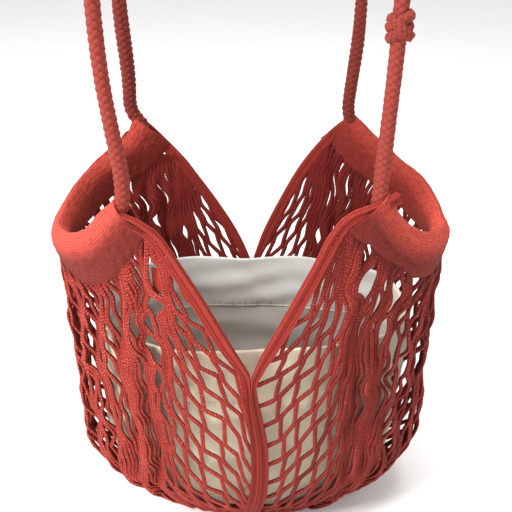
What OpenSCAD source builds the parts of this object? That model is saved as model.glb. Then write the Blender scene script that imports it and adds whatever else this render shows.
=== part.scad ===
// Mesh produce bag: two knitted net panels joined by a centre seam that runs
// down the front, under the base and up the back.  Each side has a tubular
// knitted casing that drapes between a front and a back mouth and holds a
// braided strap loop.  A cotton liner pouch with deep hems stands inside.
// Millimetres, +Z up, front = -Y, origin at the middle of the base.

/* [Net body] */
// Half width of the net body at its widest
body_half_w = 165; // [155:1:175]
// Half depth of the net body, front to back
body_half_d = 97; // [94:1:100]
// Height of the bottom of the V openings above the base
v_z = 200; // [190:1:240]
// Thickness of the net panel, one knitted strand
net_t = 3; // [2:0.5:4]
// Share of the full size that the flat base has
base_k = 0.62; // [0.58:0.01:0.68]
// Height over which the base rounds out into the wall
round_h = 80; // [70:1:95]
// Width of the knitted edge band along each V
band_w = 8; // [6:0.5:9]
// Thickness of the knitted edge band
band_t = 4; // [3:0.5:5]
// Width of the centre seam where the two bands meet
seam_w = 16; // [12:1:16]

/* [Handle casings] */
// Height of the flattened casing tube
casing_h = 38; // [36:1:40]
// Thickness of the casing tube over its strap
casing_t = 17; // [17:0.5:18]
// Wall of the casing tube
casing_wall = 2; // [1.5:0.5:2]

/* [Straps] */
// Diameter of the braided strap
strap_d = 12; // [10:0.5:12]
// Height of the strap loop above its bend at the casing mouths
strap_rise = 235; // [200:5:260]
// Outer diameter of the strap knot
knot_d = 22; // [20:1:26]
// Length of the strap knot along the strap
knot_len = 16; // [12:1:20]

/* [Liner] */
// Half width of the cotton pouch
liner_half_w = 140; // [130:1:142]
// Half depth of the cotton pouch
liner_half_d = 78.5; // [74:0.5:80]
// Height of the rim above the bottom of the V openings
rim_over_v = 18; // [10:1:30]
// Thickness of the cotton cloth with its fullness
cloth_t = 1.5; // [1:0.5:1.5]
// Height of the folded hem under the rim
hem_h = 58; // [40:1:70]

/* [Hidden] */

rust = [0.66, 0.24, 0.21];
rust_dark = [0.50, 0.16, 0.14];
rust_lit = [0.78, 0.33, 0.30];
cotton = [0.90, 0.87, 0.80];
cotton_hem = [0.95, 0.94, 0.91];
thread = [0.80, 0.76, 0.68];

gap = 0.4;
ph0 = acos((seam_w/2 + gap)/body_half_w);      // where a panel meets the centre seam

// Opening edge of the V: [x, height over the V bottom]
v_edge = [[0, 0], [8, 22], [17, 43], [26, 62], [34, 79], [43, 98], [51, 113], [60, 129], [70, 140.5], [80, 147]];
// Top edge of the right net panel: [angle round the body, height over the V bottom]
net_top = [[-87.1, -4], [-84.8, 18], [-81.5, 39.5], [-78.5, 58.5], [-75.4, 76], [-72, 95.5], [-69.4, 109], [-66.4, 122], [-63.4, 126.5],
    [-61, 122], [-55, 104], [-49, 89], [-43, 78], [-36, 70.5], [-30, 67.5], [-15, 65.5], [0, 65.5], [15, 69], [30, 79],
    [36, 86.5], [43, 96], [49, 105], [55, 114], [61, 122], [63.4, 126.5],
    [66.4, 122], [69.4, 109], [72, 95.5], [75.4, 76], [78.5, 58.5], [81.5, 39.5], [84.8, 18], [87.1, -4]];
// Middle of the right casing, from its front mouth round the side to its back mouth, over the V bottom
casing_way = [[90, -82, 142], [102, -76, 124], [118, -67, 106], [136, -54, 95], [151, -36, 89], [160, -14, 87],
    [161, 10, 89], [154, 32, 96], [142, 49, 107], [127, 61, 116], [113, 70, 125], [101, 76, 134], [91, 81.5, 146]];
hinge_x = 93;
hinge_y = 80;
hinge_z = v_z + 170;                            // strap bends here, just above the mouths
rim_z = v_z + rim_over_v;

// ---- geometry helpers ----
function unit(v) = v/norm(v);
function lerp(a, b, t) = a + (b - a)*t;
function sgn(x) = x < 0 ? -1 : 1;
function cr(p0, p1, p2, p3, t) = 0.5*(2*p1 + (p2 - p0)*t + (2*p0 - 5*p1 + 4*p2 - p3)*t*t + (3*p1 - p0 - 3*p2 + p3)*t*t*t);
// Smooth way through hand-set points, sub steps to a span
function smooth_way(p, sub) = let (n = len(p)) concat(
    [for (i = [0:n - 2], k = [0:sub - 1])
        cr(i == 0 ? 2*p[0] - p[1] : p[i - 1], p[i], p[i + 1], i == n - 2 ? 2*p[n - 1] - p[n - 2] : p[i + 2], k/sub)],
    [p[n - 1]]);
function way_dir(p, i) = let (n = len(p)) unit(p[min(i + 1, n - 1)] - p[max(i - 1, 0)]);

function body_k(z) = z >= round_h ? 1 : base_k + (1 - base_k)*sin(90*max(z, 0)/round_h);
function body_pt(ph, z, off) = [(body_half_w*body_k(z) - off)*cos(ph), (body_half_d*body_k(z) - off)*sin(ph), z];
function body_y(x, z, off) = (body_half_d*body_k(z) - off)*sqrt(max(0, 1 - pow(x/(body_half_w*body_k(z) - off), 2)));
function body_n(p) = unit([p[0]/pow(body_half_w, 2), p[1]/pow(body_half_d, 2), 0]);

function liner_k(z) = z >= 96 ? 1 : 0.66 + 0.34*sin(90*max(z - 6, 0)/90);
function liner_pt(ph, z, off) = let (c = cos(ph), s = sin(ph))
    [sgn(c)*(liner_half_w*liner_k(z) - off)*pow(abs(c), 0.77), sgn(s)*(liner_half_d*liner_k(z) - off)*pow(abs(s), 0.77), z];

// Closed wall between an outer and an inner grid of points; columns run anticlockwise seen from above
module wall(O, I) {
    R = len(O);
    C = len(O[0]);
    pts = concat([for (r = O, p = r) p], [for (r = I, p = r) p]);
    k = R*C;
    quads = concat(
        [for (r = [0:R - 2], c = [0:C - 2]) [r*C + c, (r + 1)*C + c, (r + 1)*C + c + 1, r*C + c + 1]],
        [for (r = [0:R - 2], c = [0:C - 2]) [k + r*C + c, k + r*C + c + 1, k + (r + 1)*C + c + 1, k + (r + 1)*C + c]],
        [for (c = [0:C - 2]) [c, c + 1, k + c + 1, k + c]],
        [for (c = [0:C - 2]) [(R - 1)*C + c + 1, (R - 1)*C + c, k + (R - 1)*C + c, k + (R - 1)*C + c + 1]],
        [for (r = [0:R - 2]) [(r + 1)*C, r*C, k + r*C, k + (r + 1)*C]],
        [for (r = [0:R - 2]) [r*C + C - 1, (r + 1)*C + C - 1, k + (r + 1)*C + C - 1, k + r*C + C - 1]]);
    polyhedron(pts, [for (q = quads, h = [0, 1]) h == 0 ? [q[0], q[1], q[2]] : [q[0], q[2], q[3]]], convexity = 10);
}

// Hollow tube between outer and inner rings; rings run clockwise seen along the way
module hollow_tube(O, I) {
    R = len(O);
    C = len(O[0]);
    pts = concat([for (r = O, p = r) p], [for (r = I, p = r) p]);
    k = R*C;
    quads = concat(
        [for (r = [0:R - 2], c = [0:C - 1]) let (d = (c + 1) % C) [r*C + c, (r + 1)*C + c, (r + 1)*C + d, r*C + d]],
        [for (r = [0:R - 2], c = [0:C - 1]) let (d = (c + 1) % C) [k + r*C + c, k + r*C + d, k + (r + 1)*C + d, k + (r + 1)*C + c]],
        [for (c = [0:C - 1]) let (d = (c + 1) % C) [c, d, k + d, k + c]],
        [for (c = [0:C - 1]) let (d = (c + 1) % C) [(R - 1)*C + d, (R - 1)*C + c, k + (R - 1)*C + c, k + (R - 1)*C + d]]);
    polyhedron(pts, [for (q = quads, h = [0, 1]) h == 0 ? [q[0], q[1], q[2]] : [q[0], q[2], q[3]]], convexity = 10);
}

// Solid tube through rings, with flat or nearly closed ends
module solid_tube(O) {
    R = len(O);
    C = len(O[0]);
    quads = [for (r = [0:R - 2], c = [0:C - 1]) let (d = (c + 1) % C) [r*C + c, (r + 1)*C + c, (r + 1)*C + d, r*C + d]];
    polyhedron([for (r = O, p = r) p],
        concat([for (q = quads, h = [0, 1]) h == 0 ? [q[0], q[1], q[2]] : [q[0], q[2], q[3]]],
            [for (c = [1:C - 2]) [0, c, c + 1]],
            [for (c = [1:C - 2]) [(R - 1)*C, (R - 1)*C + c + 1, (R - 1)*C + c]]), convexity = 10);
}

// Outline of a flattened tube, height h and thickness t, as [along the normal, along the height]
function flat_ring(h, t) = [for (a = [0:30:359]) let (s = sin(a), c = cos(a))
    [t/2*sgn(c)*pow(abs(c), 0.75), s*t/2 + sgn(s)*(abs(s) < 0.01 ? 0 : (h - t)/2)*pow(abs(s), 0.6)]];

casing_path = smooth_way(casing_way, 2);
function casing_ring(i, h, t) = let (p = casing_path[i], d = way_dir(casing_path, i), n0 = body_n(p),
        w = unit(cross(n0, d)), n = cross(d, w), sw = w[2] < 0 ? -1 : 1)
    [for (q = flat_ring(h, t)) [p[0], p[1], p[2] + v_z] - n*q[0] + w*sw*q[1]];
// The strap lies in the upper half of the casing
function inner_pt(i) = let (p = casing_path[i], d = way_dir(casing_path, i), w = unit(cross(body_n(p), d)), sw = w[2] < 0 ? -1 : 1)
    [p[0], p[1], p[2] + v_z] + w*sw*5;

function round_ring(p, d, r, n, side) = let (a = unit(cross(d, side)), b = cross(d, a))
    [for (k = [0:n - 1]) p - a*r*cos(360*k/n) - b*r*sin(360*k/n)];

// ---- net body ----
cols = [for (i = [0:32]) i == 0 ? -ph0 : i == 32 ? ph0 : net_top[i][0]];
function net_grid(off, zoff) = let (base = [0, 0.5, 1], wallrows = [0.06, 0.14, 0.24, 0.36, 0.5, 0.66, 0.83, 1])
    concat(
        [for (t = base) [for (i = [0:32]) let (p = body_pt(cols[i], 0, off))
            [lerp(seam_w/2 + gap, max(p[0], seam_w/2 + gap + 0.2), t), p[1], zoff]]],
        [for (t = wallrows) [for (i = [0:32]) let (top = v_z + net_top[i][1], z = lerp(zoff, top, t), p = body_pt(cols[i], z, off))
            [max(p[0], seam_w/2 + gap + 0.3), p[1], z]]]);

module net_panel() wall(net_grid(0, 0), net_grid(net_t, net_t));

seam_rows = [for (i = [0:13]) i/13];
module centre_seam(top) {
    O = [for (t = seam_rows) let (z = lerp(6, v_z + top, t)) [for (x = [-1, -0.5, 0, 0.5, 1]) [x*seam_w/2, -body_y(x*seam_w/2, z, -0.6), z]]];
    I = [for (t = seam_rows) let (z = lerp(6, v_z + top, t)) [for (x = [-1, -0.5, 0, 0.5, 1]) [x*seam_w/2, -body_y(x*seam_w/2, z, band_t - 0.6), z]]];
    wall(O, I);
}

module bottom_seam() translate([-seam_w/2, -body_half_d*base_k + 6, 0]) cube([seam_w, 2*body_half_d*base_k - 12, band_t]);

// Edge band along the V on the right-hand front side
function band_side(w) = [for (i = [0:len(v_edge) - 1]) let (n = len(v_edge), p = v_edge[i],
        d = unit(v_edge[min(i + 1, n - 1)] - v_edge[max(i - 1, 0)])) [max(p[0] + d[1]*w, i == 0 ? gap : 0), p[1] - d[0]*w]];
module edge_band() {
    rows = [for (s = [0, 0.5, 1]) band_side(s*band_w)];
    O = [for (r = [2, 1, 0]) [for (p = rows[r]) [p[0] + gap/2, -body_y(p[0], v_z + p[1], -0.6), v_z + p[1] + gap + 2]]];
    I = [for (r = [2, 1, 0]) [for (p = rows[r]) [p[0] + gap/2, -body_y(p[0], v_z + p[1], band_t - 0.6), v_z + p[1] + gap + 2]]];
    wall(O, I);
}

// ---- casings and straps ----
module handle_casing() hollow_tube(
    [for (i = [0:len(casing_path) - 1]) casing_ring(i, casing_h, casing_t)],
    [for (i = [0:len(casing_path) - 1]) casing_ring(i, casing_h - 2*casing_wall, casing_t - 2*casing_wall)]);

last = len(casing_path) - 1;
run_way = concat(
    [[hinge_x, -hinge_y, hinge_z - strap_d/2 - 0.5], [hinge_x + 0.3, -hinge_y, hinge_z - strap_d/2 - 6]],
    [for (i = [0:1:last]) inner_pt(i)],
    [[hinge_x + 0.3, hinge_y, hinge_z - strap_d/2 - 6], [hinge_x, hinge_y, hinge_z - strap_d/2 - 0.5]]);
function run_dir(i) = i == 0 ? [0, 0, -1] : i == len(run_way) - 1 ? [0, 0, 1] : way_dir(run_way, i);
module strap_run() solid_tube([for (i = [0:len(run_way) - 1])
    round_ring(run_way[i], run_dir(i), i < 2 || i > last + 2 ? strap_d/2 - 0.2 : strap_d/2 - 0.7, 10, unit([run_way[i][0], run_way[i][1]*0.4, 0]))]);

arc_z = hinge_z + strap_rise - hinge_y - strap_d/2;
loop_way = concat(
    [for (z = [0:1:8]) [hinge_x, -hinge_y, lerp(hinge_z, arc_z, z/8)]],
    [for (a = [15:15:165]) [hinge_x, -hinge_y*cos(a), arc_z + hinge_y*sin(a)]],
    [for (z = [8:-1:0]) [hinge_x, hinge_y, lerp(hinge_z, arc_z, z/8)]]);
// The ends of the loop are rounded about the bend line, so they turn in place
cap = [[5.85, 1.2], [5, 3.3], [3, 5.2]];
module strap_loop() {
    r = strap_d/2;
    n = len(loop_way);
    rings = concat(
        [for (c = cap) round_ring([hinge_x, -hinge_y, hinge_z - c[0]*r/6], [0, 0, 1], c[1]*r/6, 10, [1, 0, 0])],
        [for (i = [0:n - 1]) round_ring(loop_way[i], way_dir(loop_way, i), r, 10, [1, 0, 0])],
        [for (i = [2:-1:0]) round_ring([hinge_x, hinge_y, hinge_z - cap[i][0]*r/6], [0, 0, -1], cap[i][1]*r/6, 10, [1, 0, 0])]);
    solid_tube(rings);
}

module strap_knot(z) translate([hinge_x, -hinge_y, z]) rotate_extrude($fn = 32)
    polygon([for (p = [[strap_d/2 + 0.15, -knot_len/2], [knot_d/2 - 2.5, -knot_len/2], [knot_d/2 - 0.6, -knot_len/4], [knot_d/2, 0],
        [knot_d/2 - 0.6, knot_len/4], [knot_d/2 - 2.5, knot_len/2], [strap_d/2 + 0.15, knot_len/2]]) p]);

// ---- liner ----
liner_ang = [for (i = [0:12]) -177 + 14.5*i];
liner_z = [6, 14, 26, 42, 62, 96, 140, 180, rim_z];
module liner_panel() {
    ang = liner_ang;
    wall([for (z = liner_z) [for (a = ang) liner_pt(a, z, 0)]], [for (z = liner_z) [for (a = ang) liner_pt(a, z, cloth_t)]]);
}
module liner_side_seam() {
    ang = [-2.6, 0, 2.6];
    wall([for (z = liner_z) [for (a = ang) liner_pt(a, z, -1)]], [for (z = liner_z) [for (a = ang) liner_pt(a, z, cloth_t + 0.5)]]);
}
module liner_floor() {
    ang = [for (a = [0:15:345]) a];
    translate([0, 0, 8]) linear_extrude(cloth_t)
        polygon([for (a = ang) let (p = liner_pt(a, 8, cloth_t + 0.8)) [p[0], p[1]]]);
}
module liner_hem() {
    ang = liner_ang;
    zz = [rim_z - hem_h, rim_z - hem_h/2, rim_z - 0.5];
    wall([for (z = zz) [for (a = ang) liner_pt(a, z, cloth_t + 0.2)]], [for (z = zz) [for (a = ang) liner_pt(a, z, 2*cloth_t + 0.2)]]);
}
module hem_stitches() {
    for (m = [0, 1]) mirror([0, m, 0]) {
        ang = liner_ang;
        zz = [rim_z - hem_h + 2, rim_z - hem_h + 2.8];
        wall([for (z = zz) [for (a = ang) liner_pt(a, z, -1)]], [for (z = zz) [for (a = ang) liner_pt(a, z, -0.2)]]);
    }
}
module tag() translate([-70, -83, v_z + 78]) rotate([0, 0, -16]) translate([-5, 0, 0]) cube([10, 1.2, 22]);

// ---- named pieces ----
module left_net_panel() color(rust) mirror([1, 0, 0]) net_panel();
module right_net_panel() color(rust) net_panel();
module front_centre_seam() color(rust_lit) centre_seam(-1);
module back_centre_seam() color(rust_lit) mirror([0, 1, 0]) centre_seam(-1);
module bottom_centre_seam() color(rust_dark) bottom_seam();
module left_front_edge_band() color(rust_lit) mirror([1, 0, 0]) edge_band();
module right_front_edge_band() color(rust_lit) edge_band();
module left_back_edge_band() color(rust_lit) mirror([1, 0, 0]) mirror([0, 1, 0]) edge_band();
module right_back_edge_band() color(rust_lit) mirror([0, 1, 0]) edge_band();
module left_handle_casing() color(rust) mirror([1, 0, 0]) handle_casing();
module right_handle_casing() color(rust) handle_casing();
module left_strap_inner_run() color(rust_dark) mirror([1, 0, 0]) strap_run();
module right_strap_inner_run() color(rust_dark) strap_run();
module left_strap() color(rust_lit) mirror([1, 0, 0]) strap_loop();
module right_strap() color(rust_lit) strap_loop();
module left_strap_knot() color(rust_dark) mirror([1, 0, 0]) strap_knot(hinge_z + 135);
module right_strap_knot() color(rust_dark) strap_knot(hinge_z + 101);
module liner_front_panel() color(cotton) liner_panel();
module liner_back_panel() color(cotton) mirror([0, 1, 0]) liner_panel();
module liner_left_side_seam() color(cotton_hem) mirror([1, 0, 0]) liner_side_seam();
module liner_right_side_seam() color(cotton_hem) liner_side_seam();
module liner_base() color(cotton) liner_floor();
module liner_front_hem() color(cotton_hem) liner_hem();
module liner_back_hem() color(cotton_hem) mirror([0, 1, 0]) liner_hem();
module liner_hem_stitching() color(thread) hem_stitches();
module side_tag() color([0.80, 0.30, 0.18]) tag();

left_net_panel();
right_net_panel();
front_centre_seam();
back_centre_seam();
bottom_centre_seam();
left_front_edge_band();
right_front_edge_band();
left_back_edge_band();
right_back_edge_band();
left_handle_casing();
right_handle_casing();
left_strap_inner_run();
right_strap_inner_run();
left_strap();
right_strap();
left_strap_knot();
right_strap_knot();
liner_front_panel();
liner_back_panel();
liner_left_side_seam();
liner_right_side_seam();
liner_base();
liner_front_hem();
liner_back_hem();
liner_hem_stitching();
side_tag();
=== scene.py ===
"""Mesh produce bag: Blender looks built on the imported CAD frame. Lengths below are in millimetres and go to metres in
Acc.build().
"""
import bpy
import math
import numpy as np
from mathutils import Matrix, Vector


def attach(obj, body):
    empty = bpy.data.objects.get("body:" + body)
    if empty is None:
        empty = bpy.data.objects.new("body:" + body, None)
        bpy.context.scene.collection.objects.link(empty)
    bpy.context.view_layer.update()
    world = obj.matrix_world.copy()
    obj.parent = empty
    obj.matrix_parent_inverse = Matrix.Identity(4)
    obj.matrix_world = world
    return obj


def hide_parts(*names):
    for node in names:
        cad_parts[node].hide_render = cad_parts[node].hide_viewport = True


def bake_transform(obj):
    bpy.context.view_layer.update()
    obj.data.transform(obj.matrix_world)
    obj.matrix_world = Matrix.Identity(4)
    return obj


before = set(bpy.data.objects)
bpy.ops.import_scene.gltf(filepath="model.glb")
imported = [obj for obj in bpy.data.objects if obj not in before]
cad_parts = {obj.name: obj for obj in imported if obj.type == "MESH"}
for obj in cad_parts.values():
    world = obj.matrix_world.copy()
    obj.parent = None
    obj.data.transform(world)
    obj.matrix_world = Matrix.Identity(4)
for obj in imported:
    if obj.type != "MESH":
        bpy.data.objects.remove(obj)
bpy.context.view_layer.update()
PI = math.pi
VZ = 200.0          # height of the V bottoms
A0, B0 = 165.0, 97.0

# ------------------------------------------------------------------ camera
cam_data = bpy.data.cameras.new("camera")
cam_data.sensor_width = 36.0
cam_data.lens = 49.77
cam_data.clip_start, cam_data.clip_end = 0.01, 60
cam = bpy.data.objects.new("camera", cam_data)
cam.location = (0.0045, -0.541, 0.5755)
cam.rotation_euler = (math.radians(60), 0, 0)
bpy.context.scene.collection.objects.link(cam)
bpy.context.scene.camera = cam


# ------------------------------------------------------------------ small tools
def lin(r, g, b):
    c = np.array([r, g, b], float) / 255
    c = np.where(c <= 0.04045, c / 12.92, ((c + 0.055) / 1.055) ** 2.4)
    return (float(c[0]), float(c[1]), float(c[2]), 1.0)


def sstep(x, a, b):
    t = np.clip((np.asarray(x, float) - a) / (b - a), 0, 1)
    return t * t * (3 - 2 * t)


def unit(v):
    return v / np.maximum(np.linalg.norm(v, axis=-1, keepdims=True), 1e-9)


def cr(points, n):
    """Catmull-Rom through the points, n samples to a segment."""
    p = np.asarray(points, float)
    p = np.vstack([2 * p[0] - p[1], p, 2 * p[-1] - p[-2]])
    t = np.linspace(0, 1, n, endpoint=False)[:, None]
    out = []
    for i in range(1, len(p) - 2):
        a, b, c, d = p[i - 1], p[i], p[i + 1], p[i + 2]
        out.append(0.5 * (2 * b + (c - a) * t + (2 * a - 5 * b + 4 * c - d) * t**2 + (3 * b - a - 3 * c + d) * t**3))
    out.append(p[-2][None])
    return np.vstack(out)


def resample(p, step, *others):
    d = np.linalg.norm(np.diff(p, axis=0), axis=1)
    run = np.r_[0, np.cumsum(d)]
    n = max(3, int(round(run[-1] / step)) + 1)
    t = np.linspace(0, run[-1], n)
    outs = [np.stack([np.interp(t, run, a[:, i]) for i in range(a.shape[1])], 1) for a in (p,) + others]
    return outs, t


def smooth(p, times):
    p = p.copy()
    for _ in range(times):
        p[1:-1] = 0.25 * p[:-2] + 0.5 * p[1:-1] + 0.25 * p[2:]
    return p


def waves(seed, lo, hi, n=7, lean=0.6):
    """A smooth seeded field of (s, v): waves that run mostly along v."""
    r = np.random.RandomState(seed)
    k = 2 * PI / r.uniform(lo, hi, n)
    a = r.uniform(-lean, lean, n)
    ph = r.uniform(0, 2 * PI, n)

    def f(s, v):
        out = 0
        for i in range(n):
            out = out + np.sin(k[i] * (s * math.sin(a[i]) + v * math.cos(a[i])) + ph[i])
        return out / math.sqrt(n / 2) * 0.6

    return f


class Acc:
    """Gathers grids of quads into one mesh."""

    def __init__(self):
        self.v, self.q, self.t, self.uq, self.ut, self.tone, self.mq, self.mt, self.n = [], [], [], [], [], [], [], [], 0

    def grid(self, pts, u, w, closed=True, caps=(True, True), flip=False, tone=0.5, mat=0):
        """pts is rings x points x 3. u is one value for each ring, w one for each point, with one more where the ring closes."""
        n, m = pts.shape[:2]
        k = m if closed else m - 1
        i, j = np.meshgrid(np.arange(n - 1), np.arange(k), indexing="ij")
        jn = (j + 1) % m
        a, b, c, d = i * m + j, i * m + jn, (i + 1) * m + jn, (i + 1) * m + j
        q = np.stack([a, b, c, d], -1).reshape(-1, 4) + self.n
        u, w = np.asarray(u, float), np.asarray(w, float)
        uu = np.stack([w[j], w[j + 1], w[j + 1], w[j]], -1).reshape(-1, 4)
        vv = np.stack([u[i], u[i], u[i + 1], u[i + 1]], -1).reshape(-1, 4)
        if flip:
            q, uu, vv = q[:, ::-1], uu[:, ::-1], vv[:, ::-1]
        self.v.append(pts.reshape(-1, 3))
        self.q.append(q)
        self.uq.append(np.stack([uu, vv], -1))
        self.mq.append(np.full(len(q), mat))
        # the per-point tone holds random strand tone and painted shade: low values are painted darker, high ones get
        # more painted highlight
        tn = np.asarray(tone, float)
        tn = np.broadcast_to(tn.reshape(-1, 1) if tn.ndim == 1 else tn, (n, m))
        self.tone.append(tn.ravel())
        base = self.n
        self.n += n * m
        if closed:
            for end, on in ((0, caps[0]), (n - 1, caps[1])):
                if not on:
                    continue
                self.v.append(pts[end].mean(0)[None])
                self.tone.append(np.array([tn[end, 0]]))
                cen = self.n
                self.n += 1
                jj = np.arange(m)
                a, b = base + end * m + jj, base + end * m + (jj + 1) % m
                t = np.stack([b, a, np.full(m, cen)], -1) if end == 0 else np.stack([a, b, np.full(m, cen)], -1)
                if flip:
                    t = t[:, ::-1]
                self.t.append(t)
                self.ut.append(np.broadcast_to(np.array([w[0], u[end]]), (m, 3, 2)))
                self.mt.append(np.full(m, mat))
        return self

    def build(self, name, mats):
        v = np.vstack(self.v).astype(np.float32) * 0.001
        q = np.vstack(self.q).astype(np.int32)
        t = np.vstack(self.t).astype(np.int32) if self.t else np.zeros((0, 3), np.int32)
        me = bpy.data.meshes.new(name)
        me.vertices.add(len(v))
        me.vertices.foreach_set("co", v.ravel())
        loops = np.concatenate([q.ravel(), t.ravel()])
        me.loops.add(len(loops))
        me.loops.foreach_set("vertex_index", loops)
        me.polygons.add(len(q) + len(t))
        start = np.concatenate([np.arange(len(q)) * 4, len(q) * 4 + np.arange(len(t)) * 3]).astype(np.int32)
        me.polygons.foreach_set("loop_start", start)
        uv = np.concatenate([np.concatenate(self.uq).reshape(-1, 2)] + ([np.concatenate(self.ut).reshape(-1, 2)] if self.ut else []))
        me.update(calc_edges=True)
        layer = me.uv_layers.new(name="UVMap")
        layer.data.foreach_set("uv", uv.astype(np.float32).ravel())
        me.polygons.foreach_set("use_smooth", np.ones(len(q) + len(t), bool))
        idx = np.concatenate([np.concatenate(self.mq)] + ([np.concatenate(self.mt)] if self.mt else [])).astype(np.int32)
        for m in mats:
            me.materials.append(m)
        me.polygons.foreach_set("material_index", idx)
        att = me.attributes.new("tone", "FLOAT", "POINT")
        att.data.foreach_set("value", np.concatenate(self.tone).astype(np.float32))
        me.update()
        ob = bpy.data.objects.new(name, me)
        bpy.context.scene.collection.objects.link(ob)
        return ob


# ------------------------------------------------------------------ materials
def nodes_of(name):
    m = bpy.data.materials.new(name)
    m.use_nodes = True
    nt = m.node_tree
    nt.nodes.clear()
    out = nt.nodes.new("ShaderNodeOutputMaterial")
    b = nt.nodes.new("ShaderNodeBsdfPrincipled")
    nt.links.new(b.outputs[0], out.inputs[0])
    return m, nt, b


def mathn(nt, op, a, b=None, c=None, clamp=False):
    n = nt.nodes.new("ShaderNodeMath")
    n.operation = op
    n.use_clamp = clamp
    for i, x in enumerate((a, b, c)):
        if x is None:
            continue
        if isinstance(x, (int, float)):
            n.inputs[i].default_value = x
        else:
            nt.links.new(x, n.inputs[i])
    return n.outputs[0]


def mixc(nt, f, a, b, mode="MIX"):
    n = nt.nodes.new("ShaderNodeMix")
    n.data_type = "RGBA"
    n.blend_type = mode
    if isinstance(f, (int, float)):
        n.inputs[0].default_value = f
    else:
        nt.links.new(f, n.inputs[0])
    for i, x in ((6, a), (7, b)):
        if isinstance(x, tuple):
            n.inputs[i].default_value = x
        else:
            nt.links.new(x, n.inputs[i])
    return n.outputs[2]


def noise(nt, vec, scale, detail=3.0, rough=0.55, dims="3D"):
    n = nt.nodes.new("ShaderNodeTexNoise")
    n.noise_dimensions = dims
    n.inputs["Scale"].default_value = scale
    n.inputs["Detail"].default_value = detail
    n.inputs["Roughness"].default_value = rough
    if vec is not None:
        nt.links.new(vec, n.inputs["Vector"])
    return n.outputs["Fac"]


def knit_material(name, base, dark, light, sheen=0.1, bump=0.4, dist=0.0004, wide=1.0, depth=0.85, yarn=False, mottle=0.0):
    """Yarn knitted in V stitches. UV x counts wales, UV y counts stitches."""
    m, nt, b = nodes_of(name)
    b.inputs["Roughness"].default_value = 0.88
    b.inputs["Specular IOR Level"].default_value = 0.22
    b.inputs["Sheen Weight"].default_value = sheen
    b.inputs["Sheen Roughness"].default_value = 0.5
    b.inputs["Sheen Tint"].default_value = (1.0, 0.3, 0.22, 1.0)
    uv = nt.nodes.new("ShaderNodeUVMap")
    uv.uv_map = "UVMap"
    sep = nt.nodes.new("ShaderNodeSeparateXYZ")
    nt.links.new(uv.outputs[0], sep.inputs[0])
    a = mathn(nt, "FRACT", sep.outputs[0])
    off = mathn(nt, "ABSOLUTE", mathn(nt, "SUBTRACT", a, 0.5))             # 0 on the wale's middle, 0.5 between wales
    ph = mathn(nt, "FRACT", mathn(nt, "ADD", sep.outputs[1], mathn(nt, "MULTIPLY", off, wide * 2)))
    st = mathn(nt, "SINE", mathn(nt, "MULTIPLY", ph, PI))                   # 1 on a stitch, 0 between stitches
    st = mathn(nt, "POWER", st, 0.7)
    wa = mathn(nt, "SUBTRACT", 1.0, mathn(nt, "POWER", mathn(nt, "MULTIPLY", off, 2.0), 5.0))
    mid = mathn(nt, "POWER", mathn(nt, "SUBTRACT", 1.0, mathn(nt, "MULTIPLY", off, 2.0)), 8.0)
    h = mathn(nt, "SUBTRACT", mathn(nt, "MULTIPLY", st, wa), mathn(nt, "MULTIPLY", mid, 0.35), clamp=True)
    tone = nt.nodes.new("ShaderNodeAttribute")
    tone.attribute_name = "tone"
    fuzz = noise(nt, uv.outputs[0], 2.7, 4, 0.65)
    big = noise(nt, uv.outputs[0], 0.11, 2, 0.5)
    # painted shade: the grooves between stitches are mixed towards the dark colour, and a low tone paints the yarn
    # darker
    col = mixc(nt, mathn(nt, "MULTIPLY_ADD", h, depth, 1 - depth, clamp=True), dark, base)
    col = mixc(nt, mathn(nt, "MULTIPLY_ADD", tone.outputs["Fac"], -1.5, 0.82, clamp=True), col, dark)
    if yarn:
        # the yarn's flanks lie in the cracks between strands and are painted darker there, as painted shade
        flank = mathn(nt, "MULTIPLY_ADD", off, 9.0, -1.35, clamp=True)
        col = mixc(nt, mathn(nt, "MULTIPLY", flank, 0.8), col, dark)
    if mottle:
        # the brushed face hides some stitches and shows others
        brushed = mathn(nt, "MULTIPLY_ADD", noise(nt, uv.outputs[0], 0.55, 6, 0.8), 4.0, -1.75, clamp=True)
        col = mixc(nt, mathn(nt, "MULTIPLY", brushed, mottle), col, dark)
    # painted highlight: the light colour is laid on the stitch lobes and on fine fibre specks, stronger where the tone
    # is high
    lobe = mathn(nt, "SINE", mathn(nt, "MULTIPLY", off, 4 * PI if yarn else 2 * PI), clamp=True)
    h = mathn(nt, "MULTIPLY", h, mathn(nt, "MULTIPLY_ADD", lobe, 0.65, 0.35))
    painted_glint_specks = mathn(nt, "MULTIPLY_ADD", fuzz, 3.4, -1.3, clamp=True)
    lit = mathn(nt, "MULTIPLY", mathn(nt, "MULTIPLY", mathn(nt, "POWER", h, 2.0), painted_glint_specks), mathn(nt, "MULTIPLY_ADD", tone.outputs["Fac"], 1.3, 0.05), clamp=True)
    col = mixc(nt, lit, col, light)
    shade = mathn(nt, "MULTIPLY_ADD", mathn(nt, "SUBTRACT", big, 0.5), 0.5, 0.0)
    col = mixc(nt, mathn(nt, "MULTIPLY", mathn(nt, "ABSOLUTE", shade), 1.0, clamp=True), col, dark)
    nt.links.new(col, b.inputs["Base Color"])
    bm = nt.nodes.new("ShaderNodeBump")
    bm.inputs["Strength"].default_value = bump
    bm.inputs["Distance"].default_value = dist
    nt.links.new(mathn(nt, "ADD", h, mathn(nt, "MULTIPLY", noise(nt, uv.outputs[0], 9.0, 3, 0.7), 0.5)), bm.inputs["Height"])
    nt.links.new(bm.outputs[0], b.inputs["Normal"])
    return m


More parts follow.
